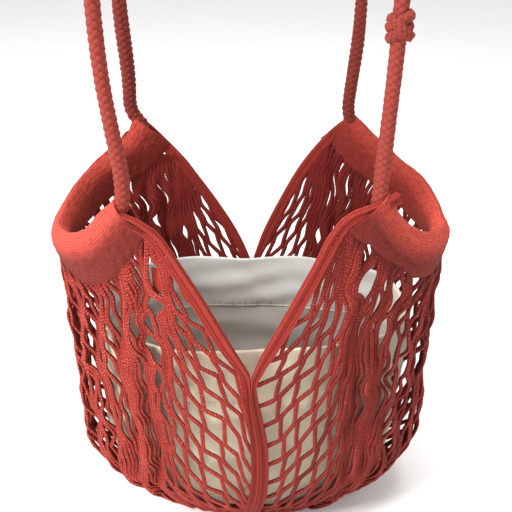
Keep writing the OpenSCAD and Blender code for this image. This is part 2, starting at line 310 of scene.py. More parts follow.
def braid_material(name, base, dark, light, sheen=0.15):
    """One braided strand: fine plies that run along it. UV x goes round it, UV y along it in millimetres."""
    m, nt, b = nodes_of(name)
    b.inputs["Roughness"].default_value = 0.85
    b.inputs["Specular IOR Level"].default_value = 0.22
    b.inputs["Sheen Weight"].default_value = sheen
    b.inputs["Sheen Roughness"].default_value = 0.45
    b.inputs["Sheen Tint"].default_value = (1.0, 0.35, 0.28, 1.0)
    uv = nt.nodes.new("ShaderNodeUVMap")
    uv.uv_map = "UVMap"
    sep = nt.nodes.new("ShaderNodeSeparateXYZ")
    nt.links.new(uv.outputs[0], sep.inputs[0])
    ply = mathn(nt, "ADD", mathn(nt, "MULTIPLY", sep.outputs[0], 9.0), mathn(nt, "MULTIPLY", sep.outputs[1], 0.16))
    ply = mathn(nt, "ABSOLUTE", mathn(nt, "SINE", mathn(nt, "MULTIPLY", ply, PI)))
    tone = nt.nodes.new("ShaderNodeAttribute")
    tone.attribute_name = "tone"
    comb = nt.nodes.new("ShaderNodeCombineXYZ")
    nt.links.new(mathn(nt, "MULTIPLY", sep.outputs[0], 6.0), comb.inputs[0])
    nt.links.new(sep.outputs[1], comb.inputs[1])
    fuzz = noise(nt, comb.outputs[0], 1.6, 4, 0.65)
    # painted shade between the plies and where the tone is low; painted highlight on the fuzz where the tone is high
    col = mixc(nt, mathn(nt, "MULTIPLY_ADD", ply, 0.35, mathn(nt, "MULTIPLY_ADD", tone.outputs["Fac"], 0.7, 0.0), clamp=True), dark, base)
    col = mixc(nt, mathn(nt, "MULTIPLY", mathn(nt, "MULTIPLY", fuzz, tone.outputs["Fac"]), 0.75, clamp=True), col, light)
    nt.links.new(col, b.inputs["Base Color"])
    bm = nt.nodes.new("ShaderNodeBump")
    bm.inputs["Strength"].default_value = 0.45
    bm.inputs["Distance"].default_value = 0.0003
    nt.links.new(mathn(nt, "ADD", ply, fuzz), bm.inputs["Height"])
    nt.links.new(bm.outputs[0], b.inputs["Normal"])
    return m


def cloth_material(name, front, back, sheen=0.12, hem=False):
    """Plain woven cotton. UV is in millimetres. The front is painted warmer, standing in for red light bounced off the
    net, and the back whiter; the mix follows where the cloth lies in the bag.
    """
    m, nt, b = nodes_of(name)
    b.inputs["Roughness"].default_value = 0.9
    b.inputs["Specular IOR Level"].default_value = 0.2
    b.inputs["Sheen Weight"].default_value = sheen
    b.inputs["Sheen Roughness"].default_value = 0.6
    uv = nt.nodes.new("ShaderNodeUVMap")
    uv.uv_map = "UVMap"
    sep = nt.nodes.new("ShaderNodeSeparateXYZ")
    nt.links.new(uv.outputs[0], sep.inputs[0])
    warp = mathn(nt, "SINE", mathn(nt, "MULTIPLY", sep.outputs[0], 2 * PI / 0.62))
    weft = mathn(nt, "SINE", mathn(nt, "MULTIPLY", sep.outputs[1], 2 * PI / 0.62))
    weave = mathn(nt, "MULTIPLY_ADD", mathn(nt, "MULTIPLY", warp, weft), 0.5, 0.5)
    tc = nt.nodes.new("ShaderNodeTexCoord")
    sp = nt.nodes.new("ShaderNodeSeparateXYZ")
    nt.links.new(tc.outputs["Object"], sp.inputs[0])
    # painted bounce light: this mix by object y makes the front warmer than the back
    inward = mathn(nt, "MULTIPLY_ADD", sp.outputs[1], 12.0, 0.35, clamp=True)
    col = mixc(nt, inward, front, back)
    slub = noise(nt, uv.outputs[0], 0.35, 5, 0.6)
    comb = nt.nodes.new("ShaderNodeCombineXYZ")
    nt.links.new(mathn(nt, "MULTIPLY", sep.outputs[0], 0.12), comb.inputs[0])
    nt.links.new(mathn(nt, "MULTIPLY", sep.outputs[1], 2.4), comb.inputs[1])
    thread = noise(nt, comb.outputs[0], 1.0, 3, 0.6)
    dim = mathn(nt, "MULTIPLY", mathn(nt, "ADD", mathn(nt, "MULTIPLY", weave, 0.10), mathn(nt, "ADD", mathn(nt, "MULTIPLY", slub, 0.09), mathn(nt, "MULTIPLY", thread, 0.07))), 1.0, clamp=True)
    if hem:
        # painted shade: the inside face below the hem is darkened, strongly on the front panel and more so further
        # down, barely on the back panel
        under = mathn(nt, "MULTIPLY_ADD", sep.outputs[0], 1.0, -273.0, clamp=True)
        deep = mathn(nt, "MULTIPLY_ADD", sep.outputs[0], 1 / 90, -283.0 / 90, clamp=True)
        shaded = mixc(nt, deep, (0.66, 0.61, 0.57, 1.0), (0.42, 0.37, 0.33, 1.0))
        col = mixc(nt, under, col, mixc(nt, 1.0, col, mixc(nt, inward, shaded, (1.0, 0.98, 0.96, 1.0)), "MULTIPLY"))
        # painted highlight: a bright line along the hem's lower edge
        edge = mathn(nt, "SUBTRACT", 1.0, mathn(nt, "MULTIPLY", mathn(nt, "ABSOLUTE", mathn(nt, "SUBTRACT", sep.outputs[0], 271.3)), 0.9), clamp=True)
        col = mixc(nt, mathn(nt, "MULTIPLY", edge, 0.8), col, (0.93, 0.9, 0.83, 1.0))
    darker = mixc(nt, 1.0, col, (0.62, 0.55, 0.47, 1.0), "MULTIPLY")
    col = mixc(nt, dim, col, darker)
    nt.links.new(col, b.inputs["Base Color"])
    bm = nt.nodes.new("ShaderNodeBump")
    bm.inputs["Strength"].default_value = 0.3
    bm.inputs["Distance"].default_value = 0.0002
    nt.links.new(mathn(nt, "ADD", weave, thread), bm.inputs["Height"])
    nt.links.new(bm.outputs[0], b.inputs["Normal"])
    return m


# one red yarn in copies of differing brightness: the back net's copy is painted lighter to stand in for light on its
# shaded inside, and the casing's is raised to light its top
M_NET = knit_material("net_yarn", lin(150, 38, 33), lin(58, 9, 8), lin(240, 112, 92), depth=0.8, yarn=True)
M_NET_BACK_PAINTED_LIGHTER = knit_material("net_yarn_back_painted_lighter", lin(212, 72, 62), lin(92, 20, 17), lin(244, 128, 110), depth=0.7, yarn=True)
M_BAND = knit_material("band_knit", lin(142, 40, 34), lin(80, 16, 13), lin(214, 92, 76), bump=0.3, depth=0.6, wide=0.7)
M_CASE = knit_material("casing_knit", lin(208, 72, 58), lin(72, 14, 11), lin(244, 132, 112), bump=0.45, depth=0.5, wide=0.6, mottle=0.75)
M_BRAID = braid_material("braided_cord", lin(126, 38, 32), lin(36, 6, 5), lin(180, 84, 72))
M_CORE = braid_material("cord_core", lin(92, 18, 16), lin(48, 8, 8), lin(110, 26, 22), sheen=0.05)
M_LINER = cloth_material("liner_cloth", lin(214, 200, 176), lin(200, 199, 197), hem=True)
M_THREAD = cloth_material("sewing_thread", lin(214, 196, 168), lin(222, 216, 206))
M_TAG = cloth_material("tag_cloth", lin(158, 42, 24), lin(158, 42, 24))

# ------------------------------------------------------------------ the body surface
TH = np.linspace(0, PI / 2, 3001)
ARC = np.r_[0, np.cumsum(np.hypot(np.diff(A0 * np.sin(TH)), np.diff(-B0 * np.cos(TH))))]
SQ = float(ARC[-1])
ZT = np.linspace(80, 0, 161)
KT = 0.62 + 0.38 * np.sin(PI / 2 * ZT / 80)
LT = np.r_[0, np.cumsum(np.hypot(np.diff(ZT), 130 * np.diff(KT)))]
V_BASE = 80 - LT[-1]


def s_of_x(x):
    return np.interp(np.arcsin(np.clip(np.asarray(x, float) / A0, 0, 1)), TH, ARC)


def surf(s, v, off):
    """Point and outward normal on the front right quarter. off is outward, in mm."""
    th = np.interp(s, ARC, TH)
    below = v < V_BASE
    z = np.where(v >= 80, v, np.interp(80 - v, LT, ZT))
    z = np.where(below, 0.0, z)
    k = np.where(z >= 80, 1.0, 0.62 + 0.38 * np.sin(PI / 2 * np.clip(z, 0, 80) / 80))
    kp = np.where(z >= 80, 0.0, 0.38 * PI / 160 * np.cos(PI / 2 * np.clip(z, 0, 80) / 80))
    st, ct = np.sin(th), np.cos(th)
    n = np.stack([B0 * k * st, -A0 * k * ct, -A0 * B0 * k * kp], -1)
    n = unit(n)
    d = np.maximum(V_BASE - v, 0)
    t = sstep(V_BASE - v, -9, 9)[..., None]
    n = unit(n * (1 - t) + np.array([0, 0, -1.0]) * t)
    p = np.stack([A0 * k * st - d, -B0 * k * ct, z], -1)
    return p + n * np.asarray(off)[..., None], n


TOP_F = np.array([(-87.1, -4), (-84.8, 18), (-81.5, 39.5), (-78.5, 58.5), (-75.4, 76), (-72, 95.5), (-69.4, 109), (-66.4, 122), (-63.4, 126.5), (-61, 122), (-55, 104), (-49, 89), (-43, 78), (-36, 70.5), (-30, 67.5), (-15, 65.5), (0, 65.5)])
TOP_B = np.array([(0, 65.5), (15, 69), (30, 79), (36, 86.5), (43, 96), (49, 105), (55, 114), (61, 122), (63.4, 126.5), (66.4, 122), (69.4, 109), (72, 95.5), (75.4, 76), (78.5, 58.5), (81.5, 39.5), (84.8, 18), (87.1, -4)])


# the opening's edge in each quarter: distance from the middle, height above the V bottom
EDGES = {
    (True, False): np.array([(0, 3), (3.5, 12), (8, 25), (17, 44), (25, 61), (33, 78), (42, 97), (50, 114), (56, 129), (64.5, 142), (73, 150), (81, 154), (92, 158), (102, 162)], float),
    (False, False): np.array([(0, 6), (3, 13), (8, 23), (15, 37), (25, 57.5), (35.5, 79), (45, 96), (54, 112), (61, 124), (68, 134), (75, 140.5), (83, 146), (92, 149)], float),
    (True, True): np.array([(0, 0), (4, 12), (9, 29), (16, 47), (25, 67), (34, 86), (43, 104), (52, 119), (61, 132), (70, 144), (79, 154), (85, 159)], float),
    (False, True): np.array([(0, 0), (4, 11), (10, 27), (19, 46), (32, 69), (41, 84), (53, 103), (62, 118), (75, 135), (87, 151), (94, 159)], float)}


def band_width(z):
    return np.interp(z, [-80, -25, -4, 10, 30, 60, 120, 150], [8.0, 5.6, 4.8, 7.4, 9.6, 10.6, 10.2, 9.0])


def vtop(s, right, back):
    th = np.interp(s, ARC, TH)
    x = A0 * np.sin(th)
    th = np.degrees(th)
    if back:
        old = np.interp(90 - th, TOP_B[:, 0], TOP_B[:, 1])
    else:
        old = np.interp(th - 90, TOP_F[:, 0], TOP_F[:, 1])
        if right:
            old = old + 8.0 * sstep(x, 80, 98) * (1 - sstep(x, 130, 150))
    e = EDGES[right, back]
    ve = np.interp(x, e[:, 0], e[:, 1])
    slope = (np.interp(x + 5, e[:, 0], e[:, 1]) - np.interp(x - 5, e[:, 0], e[:, 1])) / 10
    ve = ve - band_width(ve) * 0.72 * np.sqrt(1 + slope**2)
    t = sstep(x, 62, 76)
    return VZ + ve * (1 - t) + np.maximum(old, np.minimum(ve, 132) - 60 * sstep(x, 76, 84)) * t


def drift(v):
    """The centre seam leans to the right below the V."""
    return 8.0 * sstep(VZ - v, 0, 85) * (1 - sstep(VZ - v, 105, 185))


# ------------------------------------------------------------------ the net
S_R = np.array([0, 20.5, 36.5, 53, 67, 77, 85, 92, 99, 106, 113, 120.5, 129, 140, 153, 166, 178, 189, 199.5, 209.0])
S_L = np.array([0, 8.5, 21.5, 39.3, 54, 66.5, 76, 83, 90, 97, 104, 111, 119, 128.5, 140, 152, 164, 175.5, 187, 198, 209.0])
S_B = np.array([0, 12, 27, 42, 54, 62.5, 69, 75.5, 82, 88.5, 95, 101.5, 108.5, 117, 128, 141, 154, 168, 182, 195.5, 209.0])
T_R = [(0, -4), (30, 56), (54, 104), (61, 116), (66, 123), (70, 126), (74, 126)]
T_L = [(0, -4), (10, 6), (38, 66), (60, 108), (66, 117), (70, 121), (74, 122)]
T_B = [(0, -4), (30, 58), (46, 90), (57, 110), (64, 122), (69, 126), (73, 127)]
LINK, ROW, YARN = 22.3, 22.8, 1.84
STITCH_N = 2.5



def net_quarter(right, back, seed):
    s0 = (S_B if back else S_R if right else S_L) * (SQ / 209.0)
    tops = list(T_B if back else T_R if right else T_L)
    nc = len(s0) - 1
    top_s = [float(s_of_x(x)) for x, _ in tops]
    top_v = [VZ + z for _, z in tops]
    lo = top_s[-1]
    for c in range(len(tops), nc + 1):
        f = (s0[c] - s0[len(tops) - 1]) / (SQ - s0[len(tops) - 1])
        sc = lo + (SQ - lo) * f
        top_s.append(sc)
        top_v.append(float(vtop(np.array(sc), right, back)))
    top_s, top_v = np.array(top_s), np.array(top_v)
    w = np.diff(s0)
    drop = np.r_[0, np.cumsum(np.sqrt(np.maximum(LINK**2 - w**2, 60)))]
    r = np.random.RandomState(seed)
    v00 = VZ - 200 + r.uniform(0, ROW) - drop[-1]
    jit = {}

    def node(c, v):
        t = np.clip((v - (VZ - 20)) / (top_v[c] - (VZ - 20)), 0, 1.25)
        fan = 4.0 * sstep(VZ - v, 10, 95) * (1 - sstep(VZ - v, 120, 190)) * (1 - sstep(s0[c], 80, 120)) * (c > 0)
        return s0[c] + fan + (top_s[c] - s0[c]) * t**1.2

    def wob(c, v):
        key = (c, int(round(v)))
        if key not in jit:
            jit[key] = (r.normal(0, 0.5 + 0.5 * (c > 5)), r.normal(0, 0.9 + 0.9 * (c > 5)))
        return jit[key]

    fs, fv, fo = waves(seed + 1, 30, 80, lean=0.5), waves(seed + 2, 35, 90, lean=0.9), waves(seed + 3, 45, 120, lean=0.5)
    pr = np.random.RandomState(seed + 4)
    pleats = [(2 * PI / pr.uniform(13, 26), pr.uniform(0, 6.3), pr.uniform(0.5, 1.0), 2 * PI / pr.uniform(90, 220), pr.uniform(0, 6.3)) for _ in range(5)]

    def cell(sc, zr):
        """The middle of the mesh hole nearest to (s, height above the V bottom)."""
        best = None
        for c in range(1, nc + 1):
            for n in range(-70, 60):
                va = v00 + drop[c] - ROW * n
                if not -70 < va - VZ - zr < 70:
                    continue
                vb = va - (drop[c] - drop[c - 1])
                ms = 0.25 * (node(c, va) + node(c, va - ROW) + node(c - 1, vb) + node(c - 1, vb - ROW))
                mv = 0.5 * (va + vb) - ROW / 2
                e = (ms - sc) ** 2 + (mv - VZ - zr) ** 2
                if best is None or e < best[0]:
                    best = (e, ms, mv)
        return best[1], best[2]

    holes = []
    if right and not back:
        wish = [(88, 108, 4.4, 7, 2.1), (91, 84, 8.5, 10, 2.0), (126, 70, 5, 10, 2.0), (113, 82, 2.6, 8, 2.0), (122, 30, 4, 7, 2.0), (140, 20, 6, 7, 2.0), (146, -20, 6, 6, 2.0), (104, 60, 3, 8, 2.0), (64, 62, 3, 11, 1.8), (74, 52, 2.6, 12, 1.8)]
    elif not right and not back:
        wish = [(71, 92, 6.0, 13, 1.8), (78, 69, 10, 6.5, 2.0), (55, 82, 4.2, 11, 1.8), (76, 48, 7.5, 8.5, 2.0), (80, 23, 8, 9.5, 2.0), (78, -4, 6, 8, 2.0), (120, 30, 3, 7, 2.0), (135, 0, 5, 7, 2.0)]
    else:
        wish = [(96, 60, 4, 7, 2.0), (150, 20, 6, 7, 2.0), (110, 20, 4, 7, 2.0), (70, 40, 5, 6, 2.0)]
    for sc, zr, rs, rz, reach in wish:
        a, b = cell(sc, zr)
        holes.append((0.6 * a + 0.4 * sc, 0.35 * b + 0.65 * (VZ + zr), rs, rz, reach))

    def bend(s, v):
        for hs, hv, rs, rz, reach in holes:
            ds, dv = (s - hs) / rs, (v - hv) / rz
            d = np.hypot(ds, dv)
            new = np.where(d < reach, 1 + d * (reach - 1) / reach, d)
            f = np.where(d > 1e-3, new / np.maximum(d, 1e-3), 1)
            s, v = hs + ds * f * rs, hv + dv * f * rz
        return s, v

    # each quarter's tone range holds random strand tone and painted shade: the right quarters are painted darker and
    # the back left lighter
    tones = {(True, True): (0.14, 0.32), (False, True): (0.55, 0.9), (True, False): (0.14, 0.42), (False, False): (0.46, 0.88)}[right, back]
    acc = Acc()
    length = 0.0

    def strand(cs, tone, phase):
        nonlocal length
        pts = cr(cs[:, :3], 9)
        s, v, lift = pts[:, 0], pts[:, 1], pts[:, 2]
        s, v = bend(s, v)
        dense = sstep(s, 58, 88)
        edge = sstep(s, 6, 22) * (1 - 0.6 * sstep(s, SQ - 10, SQ))
        s2 = s + edge * (0.7 + 2.6 * dense) * fs(s, v)
        if right and not back:
            up_ = v - VZ + 0.25 * (s - 100)
            s2 = s2 - 9.0 * sstep(s, 84, 100) * (1 - sstep(s, 150, 180)) * (1 - sstep(up_, 46, 74)) * sstep(up_, -50, 30)
            s2 = s2 + 3.0 * sstep(s, 84, 100) * (1 - sstep(s, 150, 180)) * np.exp(-((up_ - 88) / 16) ** 2)
        v2 = v + edge * (0.8 + 1.5 * dense) * fv(s, v)
        ple = sum(am * np.sin(k * s2 + ph + 1.2 * np.sin(kv * v2 + pv)) for k, ph, am, kv, pv in pleats) / 1.6
        off = -1.9 + lift + ple * 2.6 * sstep(s, 62, 95) * (1 - 0.7 * sstep(s, SQ - 14, SQ)) + 1.0 * fo(s, v) * edge
        top = vtop(np.clip(s2, 0, SQ), right, back)
        hide = np.exp(-np.maximum(top - v2, 0) / 5.0) * (1 - sstep(s2, 74, 86))
        off = off * (1 - hide) - 0.55 * hide
        tuck = (1 - sstep(top - v2, 2, 18)) * sstep(s2, 72, 84)
        off = off * (1 - tuck) - 0.2 * tuck
        p, nrm = surf(np.clip(s2, 0, SQ), v2, off)
        keep = (v2 < top + (1.8 if back else 2.5) + 7.0 * sstep(s2, 76, 92)) & (p[:, 0] > 4.6)
        if not back:
            p[:, 0] += drift(v2) * (np.exp(-(s2 / 30.0) ** 2) if right else -np.exp(-(s2 / 13.0) ** 2))
        idx = np.flatnonzero(keep)
        if len(idx) < 4:
            return
        for run in np.split(idx, np.flatnonzero(np.diff(idx) > 1) + 1):
            if len(run) < 5:
                continue
            aux = np.stack([(top - v2)[run], off[run]], 1)
            (pp, nn, ax), t = resample(p[run], 0.82 if back else 0.66, nrm[run], aux)
            if t[-1] < 7:
                continue
            pp = smooth(pp, 34)
            # painted shade: strands lying deeper are darker, and a painted contact shadow darkens them just under the
            # casing
            tn = tone * (1 + 0.09 * np.clip(ax[:, 1] + 2.0, -5, 5)) * (1 - 0.8 * np.exp(-np.maximum(ax[:, 0], 0) / 7.0) * sstep(pp[:, 0], 60, 80))
            pp[:, 2] = np.maximum(pp[:, 2], 2.45)
            tan = unit(np.gradient(pp, axis=0))
            et = unit(np.cross(tan, nn))
            en = np.cross(et, tan)
            th = np.arange(8) * PI / 4
            ut = t / (STITCH_N * (0.93 + 0.2 * phase)) + phase + 0.12 * np.sin(t * 0.9 + 20 * phase)
            ab = np.minimum(th, 2 * PI - th)
            lobes = np.array([0.84, 1.05, 1.06, 0.98, 0.92, 0.98, 1.06, 1.05])
            rad = (YARN + 0.2 * back) * lobes[None, :] * (1 - (0.07 + 0.03 * np.sin(t * 0.31 + 9 * phase)[:, None]) * np.cos(2 * PI * (ut[:, None] + ab[None, :] / PI))) * (1 + 0.05 * np.sin(t * 0.35 + phase)[:, None])
            ring = pp[:, None] + rad[..., None] * (np.cos(th)[None, :, None] * en[:, None] + np.sin(th)[None, :, None] * et[:, None])
            if not right:
                ring[..., 0] *= -1
            if back:
                ring[..., 1] *= -1
            flip = (not right) != back
            acc.grid(ring, ut, np.linspace(0.5, 1.5, 9), closed=True, caps=(True, True), flip=flip, tone=tn)
            length += t[-1]

    for n0 in range(-66, 30):
        c, v = nc, v00 + drop[nc] - ROW * n0
        ctrl = []
        lift = 0.55 * (1 if n0 % 2 else -1)
        while c > 0:
            s = node(c, v)
            js, jv = wob(c, v)
            gap = min(1.6, 0.36 * (node(min(c + 1, nc), v) - node(max(c - 1, 0), v)) / 2 + 0.5)
            ctrl.append((s + js - gap, v + jv + 1.3, lift))
            ctrl.append((s + js - gap, v + jv - 1.3, lift))
            v -= drop[c] - drop[c - 1]
            c -= 1
            s = node(c, v)
            if c == 0:
                ctrl.append((s + 5, v, 0.0))
                break
            js, jv = wob(c, v)
            gap = min(1.6, 0.36 * (node(min(c + 1, nc), v) - node(max(c - 1, 0), v)) / 2 + 0.5)
            ctrl.append((s + js + gap, v + jv + 1.3, -lift))
            ctrl.append((s + js + gap, v + jv - 1.3, -lift))
            v -= ROW
        ctrl = np.array(ctrl)
        keep = (ctrl[:, 1] < VZ + 190) & (ctrl[:, 1] > V_BASE - 130)
        idx = np.flatnonzero(keep)
        if len(idx) < 4:
            continue
        strand(ctrl[idx[0]:idx[-1] + 1], r.uniform(*tones), r.uniform(0, 1))
    v = np.arange(VZ + 90, V_BASE - 110, -9.5)
    strand(np.stack([np.full(len(v), SQ - 0.6), v, np.zeros(len(v))], 1), 0.3, 0.0)
    name = ("right" if right else "left") + ("_back" if back else "_front") + "_net"
    ob = acc.build(name, [M_NET_BACK_PAINTED_LIGHTER if back else M_NET])
    return ob, length


nets = {}
for right in (True, False):
    for back in (False, True):
        nets[right, back] = net_quarter(right, back, 11 + 20 * right + 40 * back)

# ------------------------------------------------------------------ casings
WAY = np.array([(90, -82, 142), (102, -76, 124), (118, -67, 106), (136, -54, 95), (151, -36, 89), (160, -14, 87), (161, 10, 89), (154, 32, 96), (142, 49, 107), (127, 61, 116), (113, 70, 125), (101, 76, 134), (91, 81.5, 146)], float)


def casing_frames(step):
    p = cr(WAY + np.array([0, 0, VZ]), 24)
    p = smooth(p, 12)
    (p,), t = resample(p, step)
    tan = unit(np.gradient(smooth(p, 6), axis=0))
    n = unit(np.stack([p[:, 0] / A0**2, p[:, 1] / B0**2, np.zeros(len(p))], 1))
    wd = unit(np.cross(n, tan))
    wd *= np.sign(wd[:, 2:3])
    m = unit(np.cross(wd, tan))
    m *= np.sign((m * n).sum(1))[:, None]
    return p, t, tan, smooth(wd, 10), smooth(m, 10)


def outline(count):
    """The casing's cross-section: a along the width, b through the thickness, and the run round it."""
    th = np.linspace(0, 2 * PI, 721)
    a = 19.6 * np.cos(th)
    half = np.interp(a, [-19.6, -12, -2, 8, 14, 19.6], [3.4, 4.4, 6.6, 8.4, 8.2, 6.4])
    sb = np.sign(np.sin(th)) * np.abs(np.sin(th)) ** 0.8
    b = half * sb
    run = np.r_[0, np.cumsum(np.hypot(np.diff(a), np.diff(b)))]
    t = np.linspace(0, run[-1], count + 1)
    return np.interp(t, run, a)[:-1], np.interp(t, run, b)[:-1], t


WALE, STITCH = 2.35, 2.3


def casing(right, seed):
    p, t, tan, wd, m = casing_frames(0.44)
    na = 150
    a, b, run = outline(na)
    perim = run[-1]
    nst = round(perim / STITCH)
    L = t[-1]
    fa, fb = waves(seed, 40, 110, lean=1.3), waves(seed + 1, 18, 50, lean=1.2)
    A, B = np.broadcast_to(a, (len(t), na)).copy(), np.broadcast_to(b, (len(t), na)).copy()
    tt = t[:, None]
    # both mouths open out: the upper corner is drawn up to a point and the mouth is fuller
    up = sstep(A, -4, 19.6)
    fr, bk = 1 - sstep(tt, 0, 22), 1 - sstep(L - tt, 0, 22)
    A = A + up * ((0.0 if right else -4.0) * fr + (-5.0 if right else 3.0) * bk)
    if right:
        low = 1 - 0.34 * sstep(tt, 8, 22) * (1 - sstep(tt, 50, 74))
    else:
        low = np.interp(tt, [0, 10, 20, 42, 70, 105], [0.95, 1.0, 1.06, 1.2, 1.35, 1.0])
    if right:
        low = low + 0.36 * (1 - sstep(L - tt, 6, 40))
    A = np.where(A < 0, A * low, A)
    full = 1 + 0.10 * fr + 0.05 * bk
    B = B * full
    # soft creases
    s_run = run[None, :-1]
    wr = 0.9 * fa(tt * 1.0, s_run) + 0.55 * fb(tt, s_run * 1.1)
    crease = 1.1 * np.exp(-((s_run - perim * 0.30 - 0.12 * (tt - 30)) / 3.5) ** 2) * (1 - sstep(tt, 55, 95)) * sstep(tt, 8, 20)
    # knit relief: wales run round the tube, stitches along each wale
    wale = tt / WALE
    off = np.abs((wale % 1) - 0.5)
    st = np.sin(PI * (((s_run / perim * nst) + off) % 1))
    rel = (0.30 if right else 0.19) * np.cos(PI * off) ** 0.7 * (0.6 + 0.4 * st ** 0.8) * (0.75 + 0.35 * fb(tt * 2.3, s_run * 2.9)) + 0.12 * fb(tt * 6.0 + 40, s_run * 6.0) + 0.16 * fa(tt * 9.0, s_run * 11.0)
    th_dir_a = np.gradient(np.r_[b[-1], b, b[0]])[1:-1]
    th_dir_b = -np.gradient(np.r_[a[-1], a, a[0]])[1:-1]
    ln = np.hypot(th_dir_a, th_dir_b)
    na_, nb_ = th_dir_a / ln, th_dir_b / ln          # outward in the section
    sgn = 1 if (na_ * a + nb_ * b).mean() > 0 else -1
    na_, nb_ = na_ * sgn, nb_ * sgn
    d = rel - 0.30 + wr * (1 - 0.5 * np.maximum(fr, bk)) - crease
    A1, B1 = A + d * na_, B + d * nb_
    P = p[:, None] + A1[..., None] * wd[:, None] + B1[..., None] * m[:, None]
    # the rim leans: the upper corner stands forward of the lower one
    ext_f = (7.0 + 0.45 * b[None, :] + 1.5 * a[None, :] / 19.6 if right else 4.0 + 2.5 * a[None, :] / 19.6) * (1 - sstep(tt, 0, 46))
    ext_b = (12.0 if right else 2.0) * (1 - sstep(L - tt, 0, 46)) + 0 * b[None, :]
    slide = (ext_b - ext_f)[..., None]
    P = P + tan[:, None] * slide
    # a rolled rim at each mouth
    rim_n = 4
    def lip(ringA, ringB, base, wdir, mdir, tdir, sign, AB):
        out = []
        for i, (dd, ax) in enumerate(((-0.25, 0.75), (-1.0, 1.05), (-1.8, 0.6), (-2.1, -0.3))):
            q = base + (AB[0] + dd * na_)[:, None] * wdir + (AB[1] + dd * nb_)[:, None] * mdir - tdir * (sign * ax)
            out.append(q)
        return np.array(out)
    lip_f = lip(A, B, p[0], wd[0], m[0], tan[0], 1, (A[0], B[0])) + slide[0][None] * tan[0]
    lip_b = lip(A, B, p[-1], wd[-1], m[-1], tan[-1], -1, (A[-1], B[-1])) + slide[-1][None] * tan[-1]
    # inner wall, coarser along the tube
    pick = np.arange(6, len(t) - 6, 16)
    inner = p[pick, None] + (A[pick] - 2.2 * na_)[..., None] * wd[pick, None] + (B[pick] - 2.2 * nb_)[..., None] * m[pick, None]
    inner = inner + tan[pick, None] * slide[pick]
    rings = np.concatenate([P, lip_b, inner[::-1], lip_f[::-1], P[:1]])
    u = np.concatenate([wale[:, 0], wale[-1, 0] + 0.3 * np.arange(1, 5), wale[pick, 0][::-1], -0.3 * np.arange(4, 0, -1), [0.0]])
    vst = np.r_[run[:-1], run[-1]] / perim * nst
    if not right:
        rings = rings.copy()
        rings[..., 0] *= -1
    acc = Acc()
    # stitches go round the tube, so the first UV counts wales (along) and the second stitches (round)
    n, k = rings.shape[:2]
    q1 = rings[5, 1] - rings[5, 0]
    q2 = rings[6, 0] - rings[5, 0]
    cen = rings[5].mean(0)
    flip = np.dot(np.cross(q1, q2), rings[5, 0] - cen) < 0
    # painted shade: the casing is darker on its lower side and towards the back, dark on its back lip and inner wall,
    # and the right casing darker as a whole
    shade = np.concatenate([0.66 - 0.30 * sstep(t, L * 0.42, L * 0.7), np.full(4, 0.2), np.full(len(pick), 0.12), np.full(5, 0.6)])
    far = np.concatenate([sstep(t, L * 0.42, L * 0.66), np.ones(4), sstep(t[pick], L * 0.42, L * 0.66)[::-1], np.zeros(5)])[:, None]
    low_side = sstep(-a, -18, 6)[None, :]
    shade = shade[:, None] * ((1.22 - 1.2 * low_side) * (1 - far) + (0.92 - 0.5 * low_side) * far) * (0.74 if right else 1.0)
    acc.grid(rings, u, vst, closed=True, caps=(False, False), flip=flip, tone=shade)
    ob = acc.build(("right" if right else "left") + "_casing", [M_CASE])
    # swap UV so that x counts wales
    uvl = ob.data.uv_layers[0]
    arr = np.zeros(len(uvl.data) * 2, np.float32)
    uvl.data.foreach_get("uv", arr)
    arr = arr.reshape(-1, 2)[:, ::-1].copy()
    uvl.data.foreach_set("uv", arr.ravel())
    return ob


casings = {True: casing(True, 301), False: casing(False, 331)}

# ------------------------------------------------------------------ edge bands and the centre seam, one run on each side

